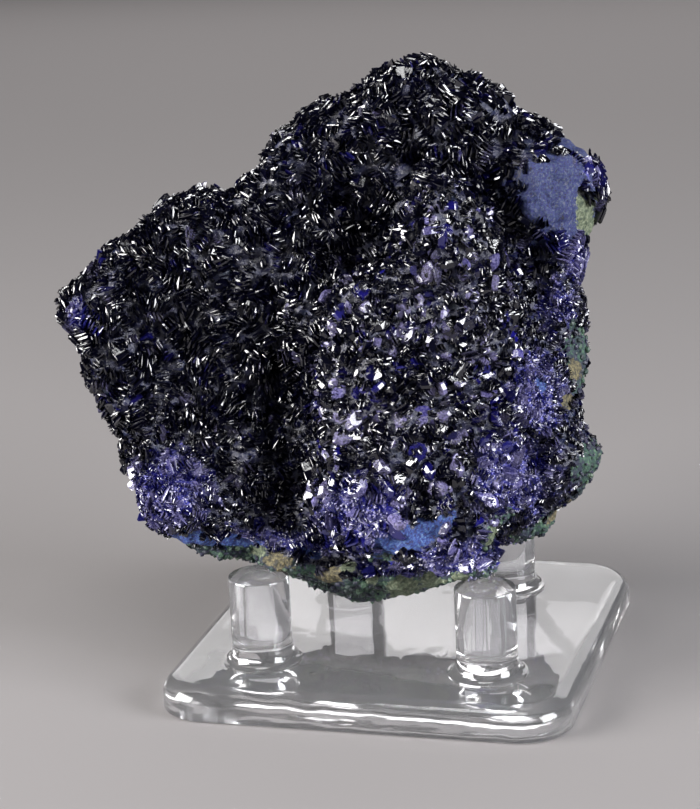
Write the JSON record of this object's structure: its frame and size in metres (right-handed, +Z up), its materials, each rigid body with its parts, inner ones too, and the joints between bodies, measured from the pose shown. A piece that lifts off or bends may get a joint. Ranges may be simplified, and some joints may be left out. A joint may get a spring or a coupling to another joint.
{
  "type": "azurite and malachite specimen on a clear peg stand",
  "caption": "Natural mineral specimen of dark blue bladed azurite crystals on green malachite matrix, resting on a clear acrylic display stand with pegs.",
  "frame": {"origin": "middle of the stand plate's underside, on the surface it stands on", "axes": "+X along the plate's front edge to the viewer's right, +Y to the back, +Z up; the crystal face looks towards -Y"},
  "size_m": [0.1166, 0.0924, 0.1298],
  "materials": {
    "azurite_malachite": "natural crystal faces, glassy near-black to deep blue, with velvety blue and earthy green parts",
    "clear_acrylic": "clear, polished"
  },
  "bodies": {
    "root": {"specimen": "azurite_malachite", "stand_plate": "clear_acrylic", "peg_front_left": "clear_acrylic", "peg_front_right": "clear_acrylic", "peg_back_left": "clear_acrylic", "peg_back_right": "clear_acrylic"}
  },
  "joints": []
}
